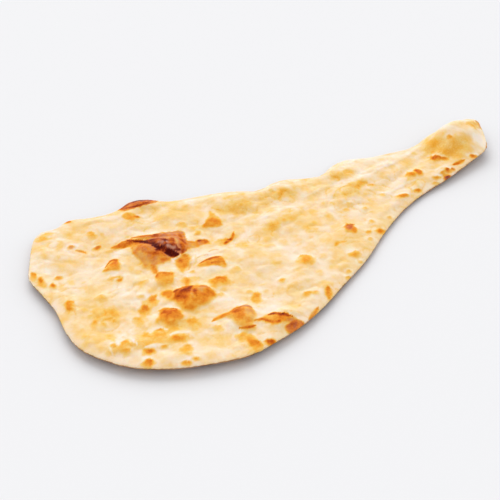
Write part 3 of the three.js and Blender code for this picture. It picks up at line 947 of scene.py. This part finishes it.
@dataclass
class BakedCrust:
    """The whole bread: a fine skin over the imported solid, with its folds, blisters and bake.

    Lengths are millimetres, and a pair says where something starts to grow and where it is
    full. The wrinkles and creases fade out towards the smooth puffed tip.
    """

    piece: bpy.types.Object = field(init=False)
    node: str = "naan"
    # How close points are welded, the skin's grid, and how often and how far it is smoothed.
    weld: float = 0.01
    voxel: float = 1.2
    smoothing: int = 14
    rim_smoothing: int = 2
    smooth_step: float = 0.5
    # The rim looks up less than this, and stays flat this far in.
    rim_up: float = 0.3
    flat_rim: float = 5.0
    # The relief needs to look up, and to lie inside the rim.
    top_up: Bounds = (0.1, 0.5)
    top_inset: Bounds = (1.0, 9.0)
    # Of two patterns together, the fine one counts this much.
    fine_share: float = 0.5
    wrinkle: float = 0.4
    wrinkles: tuple[Pattern, Pattern] = (Pattern(9.0, 3, 0.6), Pattern(4.5, 5))
    # A higher power makes thinner creases.
    crumple: float = 0.7
    creases: Pattern = Pattern(17.0, 13, 0.7)
    crease_power: int = 7
    hairline: float = 0.5
    hairlines: Pattern = Pattern(9.0, 21, 0.8)
    hairline_power: int = 18
    hairline_fields: Pattern = Pattern(26.0, 22)
    hairlines_show: Bounds = (-0.05, 0.3)
    puffed_tip: Bounds = (148.0, 166.0)
    curl: Spot = Spot(-108, 102, 26, 8.5, 0.0, rise=1.7)
    bubbles: BubbleField = field(default_factory=BubbleField)
    # The bake of plain bread and of hairlines, and the unevenness of outlines and of bakes.
    pale_bake: float = 0.11
    hairline_bake: float = 0.14
    wanders: tuple[Pattern, Pattern] = (Pattern(5.0, 7), Pattern(2.2, 8))
    blotch: float = 0.26
    blotches: Pattern = Pattern(4.2, 9)
    # Painted shade: sides that lean towards the serving side, away from the back light, get more
    # bake.
    painted_side_shade: float = 0.12
    side_shade_lean: Bounds = (-0.3, 0.5)
    side_shade_inset: Bounds = (2.0, 12.0)
    # Painted highlight: how much paler a mark's rim is where it meets the back light, and the
    # bakes between which that is lost.
    painted_rim_highlight: float = 0.08
    rim_highlight_lost: Bounds = (0.2, 0.4)
    # The ashen bloom and painted sheen come and go: their middle, how far they vary, and their
    # most.
    dust_and_sheen_pattern: Pattern = Pattern(2.4, 31)
    dust_and_sheen_level: float = 0.8
    dust_and_sheen_varies: float = 1.6
    dust_and_sheen_most: float = 1.2
    # The underside's colour comes in below this, and sooner on the rim.
    under_up: float = 0.35
    under_rim_up: float = 0.25
    rim_toast: Bounds = (1.2, 3.0)
    finish: CrustFinish = field(default_factory=CrustFinish)

    def build(self) -> bpy.types.Object:
        """Builds the crust and dresses it.

        Returns:
            The finished piece.
        """
        self._cover_solid()
        self._raise_relief()
        self._store_bake()
        mesh = self.piece.data
        mesh.materials.clear()
        mesh.materials.append(self.finish.material())
        mesh.polygons.foreach_set("use_smooth", [True] * len(mesh.polygons))
        return self.piece

    def _cover_solid(self) -> None:
        """Copies the solid, remeshes it evenly and smooths its facets away."""
        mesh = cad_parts[self.node].data.copy()
        mesh.name = "naan_crust"
        self.piece = bpy.data.objects.new("naan_crust", mesh)
        bpy.context.scene.collection.objects.link(self.piece)
        dist = self.weld * MM
        self._edit(lambda bm: bmesh.ops.remove_doubles(bm, verts=bm.verts, dist=dist))
        remesh = self.piece.modifiers.new("even_skin", "REMESH")
        remesh.mode = "VOXEL"
        remesh.voxel_size = self.voxel * MM
        evaluated = self.piece.evaluated_get(bpy.context.evaluated_depsgraph_get())
        self.piece.data = bpy.data.meshes.new_from_object(evaluated)
        self.piece.modifiers.clear()
        self._edit(self._smooth)

    def _edit(self, change: Callable[[bmesh.types.BMesh], object]) -> None:
        """Opens the piece's mesh, changes it and writes it back.

        Args:
            change: What to do to the mesh.
        """
        bm = bmesh.new()
        bm.from_mesh(self.piece.data)
        bm.verts.ensure_lookup_table()
        change(bm)
        bm.to_mesh(self.piece.data)
        bm.free()
        self.piece.data.update()

    def _smooth(self, bm: bmesh.types.BMesh) -> None:
        """Smooths the facets inside the rim, and the rim itself only lightly.

        Args:
            bm: The open mesh.
        """
        inner = [bm.verts[i] for i in np.flatnonzero(self._inset() > self.flat_rim)]
        for verts, rounds in ((inner, self.smoothing), (bm.verts, self.rim_smoothing)):
            for _ in range(rounds):
                bmesh.ops.smooth_vert(
                    bm, verts=verts, factor=self.smooth_step,
                    use_axis_x=True, use_axis_y=True, use_axis_z=True,
                )

    def _points(self) -> Array:
        """Reads the points of the piece in millimetres."""
        flat = np.empty(len(self.piece.data.vertices) * 3, np.float32)
        self.piece.data.vertices.foreach_get("co", flat)
        return flat.reshape(-1, 3).astype(float) / MM

    def _facing(self) -> Array:
        """Reads the normals at the points of the piece."""
        return np.array([tuple(n.vector) for n in self.piece.data.vertex_normals])

    def _inset(self) -> Array:
        """Measures how far each point is from the rim, as seen from above.

        Returns:
            One distance for each point, in millimetres.
        """
        points = self._points()
        rim = points[np.abs(self._facing()[:, 2]) < self.rim_up]
        tree = kdtree.KDTree(len(rim))
        for i, (x, y, _) in enumerate(rim.tolist()):
            tree.insert((x, y, 0.0), i)
        tree.balance()
        return np.array([tree.find((x, y, 0.0))[2] for x, y, _ in points.tolist()])

    def _raise_relief(self) -> None:
        """Raises the folds, blisters, bubbles and wrinkles of the top."""
        points = self._points()
        flat = points[:, :2].copy()
        top = ease(*self.top_up, self._facing()[:, 2]) * ease(*self.top_inset, self._inset())
        rough = self._roughness(flat)
        broad, fine = self.wrinkles
        wrinkles = broad.at(flat) + self.fine_share * fine.at(flat)
        creases = (1.0 - np.abs(self.creases.at(flat))) ** self.crease_power
        creased = self.crumple * creases + self.hairline * self._hairlines(flat)
        points[:, 2] += top * rough * (self.wrinkle * wrinkles - creased)
        points[:, 2] += top * self._swelling(FOLDS, flat)
        points[:, 2] += self.curl.swelling(flat)
        seen = as_seen(points)
        bubbles, _ = self.bubbles.raised(flat)
        points[:, 2] += top * (self._swelling(MARKS, seen) + rough * bubbles)
        mesh = self.piece.data
        mesh.vertices.foreach_set("co", (points * MM).astype(np.float32).ravel())
        mesh.update()

    def _roughness(self, flat: Array) -> Array:
        """Gives 1 on the wrinkled bread and 0 on its smooth puffed tip."""
        return 1.0 - ease(*self.puffed_tip, flat[:, 0])

    def _hairlines(self, flat: Array) -> Array:
        """Gives how deep in a fine crease, which comes and goes, each place is, from 0 to 1."""
        lines = (1.0 - np.abs(self.hairlines.at(flat))) ** self.hairline_power
        return lines * ease(*self.hairlines_show, self.hairline_fields.at(flat))

    def _swelling(self, marks: tuple[Mark, ...], places: Array) -> Array:
        """Adds up how far the marks lift each place.

        Args:
            marks: The marks that may lift it.
            places: x and y of each place in millimetres.

        Returns:
            One height for each place, in millimetres.
        """
        height = np.zeros(len(places))
        for mark in marks:
            near = mark.close(places)
            height[near] += mark.swelling(places[near])
        return height

    def _store_bake(self) -> None:
        """Works out how far each point is baked and stores it on the piece."""
        points, facing, inset = self._points(), self._facing(), self._inset()
        flat, seen = points[:, :2], as_seen(points)
        broad, fine = self.wanders
        wander = broad.at(points) + self.fine_share * fine.at(points)
        _, golden = self.bubbles.raised(flat)
        crease = golden + self.hairline_bake * self._hairlines(flat)
        bake = self.pale_bake + self._roughness(flat) * crease
        # Gold blushes, partly painted shade, and white ones, painted highlights, go on first.
        for blush in BLUSHES_AND_PAINTED_LIGHT:
            near = blush.close(seen)
            bake[near] += blush.blush(seen[near], wander[near])
        # Painted shade: slopes that lean towards the serving side, away from the back light, get
        # more bake.
        lean = -facing[:, :2] @ AWAY
        bake += self.painted_side_shade * np.clip(lean, *self.side_shade_lean) * ease(*self.side_shade_inset, inset)
        ash_and_sheen = self._lay_marks(points, wander, bake)
        at_rim = 1.0 - ease(*self.rim_toast, inset)
        up = (facing[:, 2] - self.under_rim_up * at_rim) / self.under_up
        under = 1.0 - ease(0.0, 1.0, up)
        stored = {SkinValue.BAKE: bake, SkinValue.ASH_AND_SHEEN: ash_and_sheen, SkinValue.UNDER: under}
        for value, amounts in stored.items():
            attribute = self.piece.data.attributes.new(value.value, "FLOAT", "POINT")
            attribute.data.foreach_set("value", amounts.astype(np.float32))

    def _lay_marks(self, points: Array, wander: Array, bake: Array) -> Array:
        """Lays every mark on the bake, in the order of the table.

        Args:
            points: The points of the crust in millimetres.
            wander: How ragged the outlines are at each point.
            bake: The bake of each point, changed in place.

        Returns:
            How much ashen bloom and painted sheen each point has.
        """
        seen = as_seen(points)
        blotches = 1.0 + self.blotch * self.blotches.at(points)
        dust_and_sheen_level = np.clip(self.dust_and_sheen_level + self.dust_and_sheen_varies * self.dust_and_sheen_pattern.at(points), 0.0, self.dust_and_sheen_most)
        ash_and_sheen = np.zeros(len(points))
        for mark in MARKS:
            near = mark.close(seen)
            places, edges = seen[near], wander[near]
            # Painted highlight: each mark's far rim is paled where it meets the back light.
            lost = 1.0 - ease(*self.rim_highlight_lost, bake[near])
            bake[near] -= self.painted_rim_highlight * mark.highlight_rim(places, edges) * lost
            # Golden aprons: partly browning, partly painted shade on the near slopes of blisters.
            bake[near] = np.maximum(bake[near], mark.apron(places, edges))
            cover = mark.cover(places, edges)
            bake[near] += cover * (mark.shade(places, edges) * blotches[near] - bake[near])
            # Ashen bloom and painted sheen follow each mark's cover.
            ash_and_sheen[near] += cover * (mark.ash_and_sheen * dust_and_sheen_level[near] - ash_and_sheen[near])
        return ash_and_sheen


@dataclass
class Studio:
    """The pale table, the soft light and the camera."""

    table_half: float = 4.0
    table_colour: str = "#eaeaec"
    sky_colour: str = "#ffffff"
    sky_strength: float = 0.82
    key_strength: float = 1.35
    key_softness: float = math.radians(50.0)
    key_from: tuple[float, float, float] = (0.18, 0.76, 0.68)
    aim: tuple[float, float, float] = (-0.05143, 0.01262, -0.0005)
    distance: float = 0.77267
    lens: float = 70.0

    def build(self) -> None:
        """Builds the table, lights and camera."""
        self._table()
        self._sky()
        self._key()
        self._camera()
        bpy.context.scene.view_settings.view_transform = "Standard"

    def _table(self) -> None:
        """Lays a plain pale table under the bread."""
        lowest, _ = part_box("naan")
        bm = bmesh.new()
        bmesh.ops.create_grid(bm, x_segments=1, y_segments=1, size=self.table_half)
        bmesh.ops.translate(bm, verts=bm.verts, vec=(0.0, 0.0, lowest.z))
        mesh = bpy.data.meshes.new("table")
        bm.to_mesh(mesh)
        bm.free()
        table = bpy.data.objects.new("table", mesh)
        bpy.context.scene.collection.objects.link(table)
        material = bpy.data.materials.new("matt_white_laminate")
        material.use_nodes = True
        shader = material.node_tree.nodes["Principled BSDF"]
        shader.inputs["Base Color"].default_value = linear(self.table_colour)
        shader.inputs["Roughness"].default_value = 0.9
        shader.inputs["Specular IOR Level"].default_value = 0.1
        mesh.materials.append(material)

    def _sky(self) -> None:
        """Fills the room with even white light."""
        world = bpy.data.worlds.new("studio_room")
        world.use_nodes = True
        background = world.node_tree.nodes["Background"]
        background.inputs["Color"].default_value = linear(self.sky_colour)
        background.inputs["Strength"].default_value = self.sky_strength
        bpy.context.scene.world = world

    def _key(self) -> None:
        """Shines a soft even light from above and behind the bread."""
        light = bpy.data.lights.new("back_light", "SUN")
        light.energy = self.key_strength
        light.angle = self.key_softness
        lamp = bpy.data.objects.new("back_light", light)
        lamp.rotation_euler = Vector(self.key_from).to_track_quat("Z", "Y").to_euler()
        bpy.context.scene.collection.objects.link(lamp)

    def _camera(self) -> None:
        """Sets the camera up on the serving side."""
        data = bpy.data.cameras.new("serving_side")
        data.lens = self.lens
        camera = bpy.data.objects.new("serving_side", data)
        back = Vector((
            -math.sin(SIGHT_HEADING) * math.cos(SIGHT_FALL),
            -math.cos(SIGHT_HEADING) * math.cos(SIGHT_FALL),
            math.sin(SIGHT_FALL),
        ))
        camera.location = Vector(self.aim) + back * self.distance
        camera.rotation_euler = back.to_track_quat("Z", "Y").to_euler()
        bpy.context.scene.collection.objects.link(camera)
        bpy.context.scene.camera = camera


def main() -> None:
    """Builds the studio and the bread, and reports each piece."""
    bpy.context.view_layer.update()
    Studio().build()
    crust = BakedCrust().build()
    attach(crust, "root")
    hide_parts("naan")
    mesh = crust.data
    log.info("%s: %d points, %d faces", crust.name, len(mesh.vertices), len(mesh.polygons))


if __name__ == "__main__":
    main()
